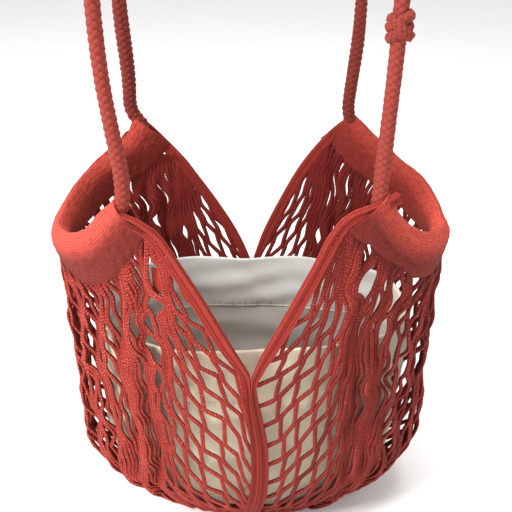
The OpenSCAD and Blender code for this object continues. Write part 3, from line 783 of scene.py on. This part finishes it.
def band(right):
    pts, nor, bi, wid = [], [], [], []

    def add(p, n, b, w):
        pts.append(p), nor.append(n), bi.append(b), wid.append([w])

    def v_run(sy, order):
        e = smooth(cr(EDGES[right, sy > 0], 6), 6)
        th = np.arcsin(np.clip(e[:, 0] / A0, 0, 1))
        out = 0.8 + 6.6 * sstep(e[:, 0], 62, 90)
        p = np.stack([(A0 + out) * np.sin(th), sy * (B0 + out) * np.cos(th), VZ + e[:, 1]], 1)
        n = unit(np.stack([p[:, 0] / A0**2, p[:, 1] / B0**2, np.zeros(len(p))], 1))
        tn = unit(np.gradient(p, axis=0))
        b = unit(np.cross(tn, n))
        b *= np.sign(b[:, 0:1] - b[:, 2:3] + 1e-6)
        seq = range(len(p))[::-1] if order else range(len(p))
        for i in seq:
            add(p[i], n[i], b[i], float(band_width(e[i, 1])))

    v_run(-1, True)
    for z in np.arange(VZ - 6, 5, -4.0):
        k = 1 if z >= 80 else 0.62 + 0.38 * math.sin(PI / 2 * z / 80)
        kp = 0 if z >= 80 else 0.38 * PI / 160 * math.cos(PI / 2 * z / 80)
        n = unit(np.array([0, -1.0, -B0 * kp]))
        dx = float(drift(np.array(z)))
        add(np.array([dx if right else -dx, -B0 * k, z]) + n * 0.8, n, np.array([1.0, 0, 0]), float(band_width(z - VZ)))
    for y in np.arange(-56, 57, 4.0):
        add(np.array([0, y, 0.6]), np.array([0, 0, -1.0]), np.array([1.0, 0, 0]), 7.0)
    for z in np.arange(5, VZ - 4, 4.0):
        k = 1 if z >= 80 else 0.62 + 0.38 * math.sin(PI / 2 * z / 80)
        kp = 0 if z >= 80 else 0.38 * PI / 160 * math.cos(PI / 2 * z / 80)
        n = unit(np.array([0, 1.0, -B0 * kp]))
        add(np.array([0, B0 * k, z]) + n * 0.8, n, np.array([1.0, 0, 0]), 7.0)
    v_run(1, False)
    pts, nor, bi = smooth(np.array(pts), 2), np.array(nor), np.array(bi)
    (p, n, b, wid), t = resample(pts, 0.63, nor, bi, np.array(wid))
    wid = smooth(wid, 14) / 8.4
    n, b = unit(smooth(n, 14)), unit(smooth(b, 14))
    tan = unit(np.gradient(smooth(p, 4), axis=0))
    n = unit(n - (n * tan).sum(1, keepdims=True) * tan)
    b0 = np.cross(tan, n)
    b = b0 * np.sign((b0 * b).sum(1))[:, None]
    p[:, 2] = np.maximum(p[:, 2], 2.0)
    # section: four wales on the face, the first one a beaded roll along the opening
    wx = np.linspace(0, 8.4, 29)
    u = t[:, None] / 2.3
    wales = [(0.0, 2.6, 1.9), (2.6, 4.6, 0.75), (4.6, 6.5, 0.75), (6.5, 8.4, 1.15)]
    h = np.zeros((len(t), len(wx)))
    for x0, x1, hh in wales:
        f = (wx - x0) / (x1 - x0)
        inside = (f >= 0) & (f <= 1.0001)
        off = np.abs(np.clip(f, 0, 1) - 0.5)
        st = np.sin(PI * ((u + off[None, :] * (1 if hh < 1.5 else 0.5)) % 1)) ** 0.8
        r = hh * np.cos(PI * off)[None, :] ** 0.55 * (0.66 + 0.34 * st)
        h = np.where(inside[None, :], np.maximum(h, r), h)
    curl = -0.9 * np.exp(-((wx - 3.9) / 1.3) ** 2)
    h = h + curl[None, :] - 0.2
    wide = wid * (1.0 + 0.03 * np.sin(t / 17.0)[:, None] + 0.02 * np.sin(t / 5.3 + 1)[:, None])
    top = p[:, None] + (wx[None, :] * wide - 0.15)[..., None] * b[:, None] + h[..., None] * n[:, None]
    wb = np.linspace(8.4, 0, 12)
    hb = -3.1 - 0.9 * np.abs(np.sin(wb / 8.4 * 2 * PI)) ** 0.6
    bot = p[:, None] + (wb[None, :] * wide - 0.15)[..., None] * b[:, None] + (hb[None, :, None]) * n[:, None]
    ring = np.concatenate([top, bot], 1)
    ring[..., 2] = np.maximum(ring[..., 2], 0.0)
    if not right:
        ring[..., 0] *= -1
    wv = np.concatenate([np.interp(wx, [0, 2.6, 4.6, 6.5, 8.4], [0, 1, 2, 3, 4]), 4 + np.linspace(0, 4, 13)])
    q1, q2 = ring[400, 1] - ring[400, 0], ring[401, 0] - ring[400, 0]
    flip = np.dot(np.cross(q1, q2), ring[400, 10] - ring[400].mean(0)) < 0
    acc = Acc()
    # painted shade: the band is darker below the V bottoms and towards the back
    acc.grid(ring, t / 2.3, wv, closed=True, flip=flip, tone=0.60 - 0.30 * sstep(VZ + 6 - p[:, 2], 0, 24) - 0.2 * sstep(p[:, 1], -30, 60))
    return acc.build(("right" if right else "left") + "_edge_and_seam", [M_BAND])


bands = {True: band(True), False: band(False)}


# ------------------------------------------------------------------ straps
def braid(acc, p, nrm, pitch=21.2, r0=3.55, swing=0.62, rn=1.62, rt=2.55, wide=None, twist=None, sides=8, mirror=False, turn=PI / 8):
    """Four strands each way, over and under, round the line p. nrm points at the side that is angle 0."""
    (p, nrm), t = resample(p, 1.0, nrm)
    tan = unit(np.gradient(smooth(p, 3), axis=0))
    nrm = unit(nrm - (nrm * tan).sum(1, keepdims=True) * tan)
    bi = np.cross(tan, nrm)
    if twist is not None:
        a = twist(t)[:, None]
        nrm, bi = nrm * np.cos(a) + bi * np.sin(a), bi * np.cos(a) - nrm * np.sin(a)
    sw = np.ones(len(t)) if wide is None else wide(t)
    th = np.arange(sides) * 2 * PI / sides
    for d in (1, -1):
        for k in range(4):
            ang = d * 2 * PI * t / pitch + k * PI / 2 + turn
            over = d * np.cos(8 * PI * t / pitch)
            rho = r0 + swing * over
            er = np.cos(ang)[:, None] * nrm + np.sin(ang)[:, None] * bi * sw[:, None]
            c = p + er * rho[:, None]
            er = unit(er)
            ts = unit(np.gradient(c, axis=0))
            er = unit(er - (er * ts).sum(1, keepdims=True) * ts)
            et = np.cross(ts, er)
            pinch = 1 + 0.10 * over
            ring = c[:, None] + (rn * pinch)[:, None, None] * np.cos(th)[None, :, None] * er[:, None] + (rt * pinch)[:, None, None] * np.sin(th)[None, :, None] * et[:, None]
            if mirror:
                ring = ring.copy()
                ring[..., 0] *= -1
            # painted shade: strands are darker where they pass under, lighter where over, and darker on the back legs
            acc.grid(ring, t, np.linspace(0, 1, sides + 1), closed=True, flip=mirror, tone=(0.5 + 0.45 * over) * (1 - 0.5 * sstep(p[:, 1], 10, 70)), mat=0)
    core = p[:, None] + (r0 - 0.5) * (np.cos(th)[None, :, None] * nrm[:, None] + (np.sin(th)[None, :, None]) * bi[:, None] * sw[:, None, None])
    if mirror:
        core = core.copy()
        core[..., 0] *= -1
    acc.grid(core[::2], t[::2], np.linspace(0, 1, sides + 1), closed=True, flip=mirror, tone=0.2, mat=1)
    return p, t


CP, CT, CTAN, CW, CM = casing_frames(2.0)
strap_paths = {}


def strap(right):
    """The free loop, from 22 mm inside the front mouth to 22 mm inside the back one."""
    fin = [CP[i] + 5 * CW[i] for i in (11, 7, 3)]
    bin_ = [CP[-1 - i] + 5 * CW[-1 - i] + np.array([0.0 if right else dx, 0, 0]) for i, dx in ((3, 16.0), (7, 11.0), (11, 6.0))]
    lean = {
        (True, -1): lambda z: 0.5 + 2.0 * float(sstep(z, 360, 470)) - 2.5 * float(sstep(z, 500, 590)),
        (False, -1): lambda z: -4.6 + 9.4 * float(sstep(z, 335, 465)) - 4.8 * float(sstep(z, 490, 580)),
        (True, 1): lambda z: -5.5 * (1 - float(sstep(z, 360, 450))),
        (False, 1): lambda z: 21.0 - 6.0 * float(sstep(z, 350, 386)) + 2.5 * float(sstep(z, 395, 465)) - 17.5 * float(sstep(z, 475, 590)),
    }
    pts = list(fin)
    zz = [352, 362, 374, 390, 410, 430, 450, 470, 490, 510]
    for z in zz:
        f = float(sstep(z, 345, 374))
        pts.append(np.array([93 + lean[right, -1](z) * f, -80.6 + 0.6 * f, z]))
    for a in np.radians(np.arange(172, 0, -12)):
        z = 519 + 80 * math.sin(a)
        sy = -1 if math.cos(a) < 0 else 1
        pts.append(np.array([93 + lean[right, sy](z), 80 * math.cos(a), z]))
    for z in zz[::-1]:
        f = float(sstep(z, 345, 374))
        pts.append(np.array([93 + lean[right, 1](z) * f, 81 - 1.0 * f, z]))
    pts += bin_
    p = cr(np.array(pts), 12)
    p = smooth(p, 10 if right else 60)
    n = np.stack([np.zeros(len(p)), p[:, 1], p[:, 2] - 519], 1)
    n[:, 2] = np.where(p[:, 2] < 519, 0, n[:, 2])
    n = unit(n)
    L = float(np.linalg.norm(np.diff(p, axis=0), axis=1).sum())
    tw = (lambda t: 1.5 * sstep(t, L - 150, L - 60)) if right else (lambda t: 0.9 * sstep(t, L - 200, L - 50))
    wd = lambda t: 1.04 - 0.16 * sstep(t, 40, 115) + (0.26 * sstep(t, L - 150, L - 60) if right else 0.38 * sstep(t, L - 200, L - 110)) - 0.16 * np.exp(-((t - L + 42) / 26) ** 2) * (1 if right else 0.4)
    acc = Acc()
    path, t = braid(acc, p, n, wide=wd, twist=tw, mirror=not right, turn=0.0 if right else PI / 8)
    ob = acc.build(("right" if right else "left") + "_strap_loop", [M_BRAID, M_CORE])
    path = path.copy()
    if not right:
        path[:, 0] *= -1
    strap_paths[right] = path
    return ob


straps = {True: strap(True), False: strap(False)}


def inner_run(right):
    p = CP[9:-9] + 5 * CW[9:-9]
    acc = Acc()
    braid(acc, p, CM[9:-9], sides=6, mirror=not right, r0=3.2, rn=1.5, rt=2.3)
    return acc.build(("right" if right else "left") + "_strap_inside", [M_BRAID, M_CORE])


inners = {True: inner_run(True), False: inner_run(False)}


def knot(right):
    """The loop's ends meet in an overhand knot: the cord wraps round the leg and tucks in."""
    zc = 477.0 if right else 505.0
    leg = strap_paths[right]
    front = leg[(leg[:, 1] < -60)]
    x0 = float(np.interp(zc, front[:, 2], np.abs(front[:, 0])))
    a = np.linspace(-0.35, 1, 60) * 2 * PI * 1.35
    f = (a - a[0]) / (a[-1] - a[0])
    rad = 6.2 - 1.8 * sstep(f, 0.88, 1.0) - 1.8 * (1 - sstep(f, 0.0, 0.12)) - 0.9 * (1 - f)
    p = np.stack([x0 + rad * np.sin(a), -80 - rad * np.cos(a), zc - 6.2 + 12.4 * f + 2.4 * np.sin(a + 0.6)], 1)
    n = unit(np.stack([np.sin(a), -np.cos(a), np.zeros(len(a))], 1))
    acc = Acc()
    braid(acc, p, n, pitch=13.0, r0=2.2, swing=0.4, rn=1.15, rt=1.75, mirror=not right)
    a2 = np.linspace(0, 1, 40)
    p2 = np.stack([x0 - 6.6 + 13.2 * a2, -80 - 7.2 * np.sin(PI * (0.08 + 0.84 * a2)), zc + 6.5 - 12.0 * a2], 1)
    n2 = unit(np.stack([p2[:, 0] - x0, p2[:, 1] + 80, 0 * a2], 1))
    braid(acc, p2, n2, pitch=13.0, r0=2.3, swing=0.4, rn=1.2, rt=1.8, mirror=not right)
    return acc.build(("right" if right else "left") + "_strap_knot_wrap", [M_BRAID, M_CORE])


knots = {True: knot(True), False: knot(False)}

# ------------------------------------------------------------------ the liner
LPH = np.linspace(0, PI / 2, 4001)
LX, LY = 140 * np.cos(LPH) ** 0.77, 78.5 * np.sin(LPH) ** 0.77
LRUN = np.r_[0, np.cumsum(np.hypot(np.diff(LX), np.diff(LY)))]


def liner_panel(back, seed):
    """One panel: outside up, over the rolled rim, down the turned hem to its stitched edge, and down the inside."""
    nu = 300
    half = LRUN[-1]
    su = np.linspace(-half, half, nu + 1)                  # from the left side (-) over the middle (0) to the right side (+)
    run = half - np.abs(su)
    x = np.interp(run, LRUN, LX) * np.sign(su)
    y = np.interp(run, LRUN, LY)
    p0 = np.stack([x, y], 1)
    tn = np.gradient(p0, axis=0)
    tn /= np.linalg.norm(tn, axis=1, keepdims=True)
    nr = np.stack([-tn[:, 1], tn[:, 0]], 1)                # outward, y grows away from the middle
    nr *= np.sign((nr * (p0 / np.array([140.0**2, 78.5**2]))).sum(1))[:, None]
    # the profile: (height, offset inward)
    prof = [(z, 0.0) for z in np.arange(6, 216.3, 2.6)]
    prof += [(216.4 + 1.6 * math.sin(a), 1.6 - 1.6 * math.cos(a)) for a in np.radians(np.arange(0, 181, 22.5))]
    prof += [(z, 3.2) for z in np.arange(214.5, 163, -2.6)]
    prof += [(162.6, 3.0), (161.6, 2.75), (160.6, 3.3), (159.9, 3.2), (159.5, 2.4), (159.6, 1.6)]
    prof += [(z, 1.5) for z in np.arange(157.5, 5.9, -2.6)] + [(6.0, 1.5)]
    prof = np.array(prof)
    f1, f2, f3 = waves(seed, 55, 120, lean=1.5), waves(seed + 1, 22, 48, lean=1.35), waves(seed + 2, 9, 18, n=5, lean=1.57)
    rings = []
    z, off = prof[:, 0][:, None], prof[:, 1][:, None]
    S = su[None, :]
    side = sstep(half - np.abs(S), 0, 22)
    foot = sstep(z, 6, 45)
    # folds: broad ones down the wall, some that sag across it, and fine puckers along the hem's stitch line
    d = 1.9 * f1(S, z * 0.7) * foot + 0.8 * f2(S, z) * foot
    sag = 1.7 * np.sin(2 * PI * (z + 10 * np.sin(S / 46 + seed)) / 46.0) * (1 - sstep(z, 135, 165)) * foot
    sag += 1.4 * np.sin(2 * PI * (z - 0.22 * S) / 30.0 + 1) * np.exp(-((z - 170) / 30) ** 2) * (0.6 if back else 1.0)
    puck = 0.45 * f3(S, z * 0.2) * np.exp(-((z - 161) / 6.0) ** 2)
    puck += 0.30 * np.sin(2 * PI * S / 7.0 + 2 * np.sin(S / 23)) * np.exp(-((z - 163) / 3.0) ** 2)
    rimw = 0.9 * np.sin(S / 27 + seed) * sstep(z, 190, 218)
    belly = 1.6 * np.sin(PI * np.clip((z - 161) / 56, 0, 1)) * (off > 2) * 1.0
    d = (d + sag + puck + rimw) * side
    dz = (1.2 * np.sin(S / 38 + 2 * seed) + 0.8 * np.sin(S / 15 + seed)) * side * sstep(z, 120, 218)
    k = np.where(z >= 96, 1.0, 0.66 + 0.34 * np.sin(PI / 2 * np.clip(z - 6, 0, 90) / 90))
    o = d - off - belly * 0.55 * side
    X = x[None, :] * k + nr[:, 0][None, :] * o
    Y = y[None, :] * k + nr[:, 1][None, :] * o
    X = X * (1 - 0.0)
    ring = np.stack([X, Y if back else -Y, z + dz + 0 * S], -1)      # profile x along
    ring = np.concatenate([ring, ring[:1]], 0)
    ring = ring.transpose(1, 0, 2)[:, :-1]                            # rings along the panel, closed round the profile
    # normals out: test on one quad
    i, j = nu // 2, 20
    q1, q2 = ring[i, j + 1] - ring[i, j], ring[i + 1, j] - ring[i, j]
    flip = np.dot(np.cross(q1, q2), np.array([0, 1.0 if back else -1.0, 0])) < 0
    pr = np.r_[0, np.cumsum(np.hypot(np.diff(np.r_[prof[:, 0], prof[0, 0]]), np.diff(np.r_[prof[:, 1], prof[0, 1]])))]
    acc = Acc()
    acc.grid(ring, su, pr, closed=True, flip=flip, tone=0.5)
    ob = acc.build(("back" if back else "front") + "_liner_panel", [M_LINER])

    # stitches along the hem, outside
    stacc = Acc()
    zs = 162.4
    dd = np.interp(np.arange(-half + 8, half - 8, 4.2), su, su)
    jrow = int(np.argmin(np.abs(prof[:84, 0] - zs)))
    line = ring[:, jrow]
    for c in dd:
        e = np.linspace(c - 1.45, c + 1.45, 5)
        q = np.stack([np.interp(e, su, line[:, 0]), np.interp(e, su, line[:, 1]), np.interp(e, su, line[:, 2]) + (zs - prof[jrow, 0])], 1)
        nn = np.stack([np.interp(e, su, nr[:, 0]), np.interp(e, su, nr[:, 1]) * (1 if back else -1), 0 * e], 1)
        q = q + nn * (np.array([-0.15, 0.35, 0.45, 0.35, -0.15])[:, None])
        tan = unit(np.gradient(q, axis=0))
        et = unit(np.cross(tan, nn))
        th = np.arange(6) * PI / 3
        rr = np.array([0.2, 0.4, 0.45, 0.4, 0.2])[:, None, None]
        rg = q[:, None] + rr * (np.cos(th)[None, :, None] * nn[:, None] + np.sin(th)[None, :, None] * et[:, None])
        stacc.grid(rg, e, np.linspace(0, 1, 7), closed=True, tone=0.5)
    st = stacc.build(("back" if back else "front") + "_hem_stitches", [M_THREAD])
    return ob, st, ring, su


lin_f, st_f, ring_f, su_f = liner_panel(False, 3)
lin_b, st_b, ring_b, su_b = liner_panel(True, 5)


def liner_seam(right):
    """The felled seam down each side of the pouch."""
    z = np.arange(6, 217.6, 3.0)
    k = np.where(z >= 96, 1.0, 0.66 + 0.34 * np.sin(PI / 2 * np.clip(z - 6, 0, 90) / 90))
    c = np.stack([140 * k, 0 * z, z], 1)
    n = np.tile([1.0, 0, 0], (len(z), 1))
    yy = np.array([-7, -6.4, -3.5, -0.5, 0.0, 0.5, 3.5, 6.4, 7])
    o = np.array([0.1, 0.7, 0.85, 0.75, 0.3, 0.75, 0.85, 0.7, 0.1])
    wv = 0.15 * np.sin(z[:, None] / 3.1 + yy[None, :])
    out = c[:, None] + np.stack([o[None, :] + wv, yy[None, :] + 0 * z[:, None], 0 * z[:, None] + 0 * yy[None, :]], -1)
    ins = c[:, None] + np.stack([-2.0 - 0.2 * o[None, ::-1] + 0 * z[:, None], yy[None, ::-1] + 0 * z[:, None], 0 * z[:, None] + 0 * yy[None, :]], -1)
    ring = np.concatenate([out, ins], 1)
    if not right:
        ring[..., 0] *= -1
    w = np.arange(19) * 1.4
    q1, q2 = ring[3, 3] - ring[3, 2], ring[4, 2] - ring[3, 2]
    flip = np.dot(np.cross(q1, q2), np.array([1.0 if right else -1.0, 0, 0])) < 0
    acc = Acc()
    acc.grid(ring, z, w, closed=True, flip=flip)
    return acc.build(("right" if right else "left") + "_liner_seam", [M_LINER])


lseams = {True: liner_seam(True), False: liner_seam(False)}


def liner_floor():
    """The pouch's bottom: a disc with a soft rise and creases towards its edge."""
    ph = np.linspace(0, 2 * PI, 181)[:-1]
    ex, ey = np.sign(np.cos(ph)) * np.abs(np.cos(ph)) ** 0.77, np.sign(np.sin(ph)) * np.abs(np.sin(ph)) ** 0.77
    rr = np.linspace(0.04, 1.0, 26)
    f = waves(91, 25, 70, lean=1.5)
    acc = Acc()
    X, Y = 0.655 * 139 * rr[:, None] * ex[None, :], 0.655 * 77.5 * rr[:, None] * ey[None, :]
    Z = 9.3 + 0.9 * f(X, Y) * (1 - rr[:, None] ** 3) + 0.5 * np.cos(ph * 14)[None, :] * rr[:, None] ** 4 * 0.6
    top = np.stack([X, Y, Z], -1)
    bot = np.stack([X, Y, Z - 1.4], -1)
    ring = np.concatenate([top, bot[::-1]], 0)
    acc.grid(ring, np.r_[rr * 90, rr[::-1] * 90], np.linspace(0, 300, 181), closed=True, caps=(True, True), flip=True)
    return acc.build("liner_bottom", [M_LINER])


lfloor = liner_floor()


def tag():
    """A small blank cloth tag, folded over, sewn in under the left front band."""
    cx, cy, cz = -70.0, -82.6, 289.0
    g = np.linspace(-1, 1, 15)
    u, v = np.meshgrid(g, np.linspace(-1, 1, 27), indexing="ij")
    bow = 0.6 * np.sin(v * 2.2 + 0.6) + 0.35 * u * v
    X, Z = 4.9 * u, 11.0 * v
    front = np.stack([X, -0.55 + bow * 0.5, Z], -1)
    backs = np.stack([X, 0.55 + bow * 0.5, Z], -1)
    ring = np.concatenate([front, backs[:, ::-1]], 1)
    a = math.radians(-16)
    Xr, Yr = ring[..., 0] * math.cos(a) - ring[..., 1] * math.sin(a), ring[..., 0] * math.sin(a) + ring[..., 1] * math.cos(a)
    ring = np.stack([Xr + cx, Yr + cy, ring[..., 2] + cz], -1)
    acc = Acc()
    q1, q2 = ring[3, 3] - ring[3, 2], ring[4, 2] - ring[3, 2]
    flip = np.dot(np.cross(q1, q2), np.array([0, -1.0, 0])) < 0
    acc.grid(ring, g * 5, np.linspace(0, 48, 55), closed=True, flip=flip)
    return acc.build("side_tag_cloth", [M_TAG])


tag_ob = tag()

# ------------------------------------------------------------------ what rides on what
for (right, back), (ob, _) in nets.items():
    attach(ob, "bag")
for right in (True, False):
    sd = "right" if right else "left"
    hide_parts(sd + "_net_panel")
    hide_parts(sd + "_net_panel")
    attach(casings[right], "bag")
    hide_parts(sd + "_handle_casing")
    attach(bands[right], "bag")
    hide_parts(sd + "_front_edge_band", sd + "_back_edge_band", "front_centre_seam", "back_centre_seam", "bottom_centre_seam")
    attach(inners[right], "bag")
    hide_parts(sd + "_strap_inner_run")
    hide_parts(sd + "_strap")
    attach(knots[right], sd + "_strap_body")
    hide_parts(sd + "_strap_knot")
    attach(lseams[right], "bag")
    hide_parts("liner_" + sd + "_side_seam")
    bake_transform(straps[right])
for ob, names in ((lin_f, ("liner_front_panel", "liner_front_hem")), (lin_b, ("liner_back_panel", "liner_back_hem")), (lfloor, ("liner_base",))):
    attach(ob, "bag")
    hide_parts(*names)
for ob in (st_f, st_b):
    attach(ob, "bag")
    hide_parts("liner_hem_stitching")
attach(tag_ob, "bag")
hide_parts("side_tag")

# ------------------------------------------------------------------ stage, light
bpy.ops.mesh.primitive_plane_add(size=14, location=(0, 0, -0.0006))
floor = bpy.context.object
floor.name = "floor"
mf, ntf, bf = nodes_of("floor_pale")
bf.inputs["Roughness"].default_value = 0.9
bf.inputs["Specular IOR Level"].default_value = 0.1
tcf = ntf.nodes.new("ShaderNodeTexCoord")
ntf.links.new(mixc(ntf, noise(ntf, tcf.outputs["Object"], 3.0, 2), (0.93, 0.93, 0.93, 1), (0.96, 0.96, 0.955, 1)), bf.inputs["Base Color"])
floor.data.materials.append(mf)

world = bpy.data.worlds.new("world")
bpy.context.scene.world = world
world.use_nodes = True
world.node_tree.nodes["Background"].inputs[0].default_value = (1.0, 1.0, 1.0, 1)
world.node_tree.nodes["Background"].inputs[1].default_value = 0.76


def area(name, loc, aim, size, power, colour=(1, 1, 1)):
    d = bpy.data.lights.new(name, "AREA")
    d.shape = "DISK"
    d.size = size
    d.energy = power
    d.color = colour
    o = bpy.data.objects.new(name, d)
    o.location = loc
    o.rotation_euler = (Vector(aim) - Vector(loc)).to_track_quat("-Z", "Y").to_euler()
    bpy.context.scene.collection.objects.link(o)


area("key", (-1.15, -0.85, 1.45), (0, 0, 0.3), 0.6, 40, (1, 0.99, 0.975))
area("fill", (-0.1, -1.5, 0.62), (0, 0, 0.25), 1.1, 4.5, (1, 0.985, 0.96))
area("top", (0.2, 0.1, 2.0), (0, 0, 0.3), 0.9, 20)
bpy.context.scene.view_settings.view_transform = "Standard"

print("NET LENGTHS", {("R" if k[0] else "L") + ("B" if k[1] else "F"): (round(v[1]), len(v[0].data.polygons)) for k, v in nets.items()})
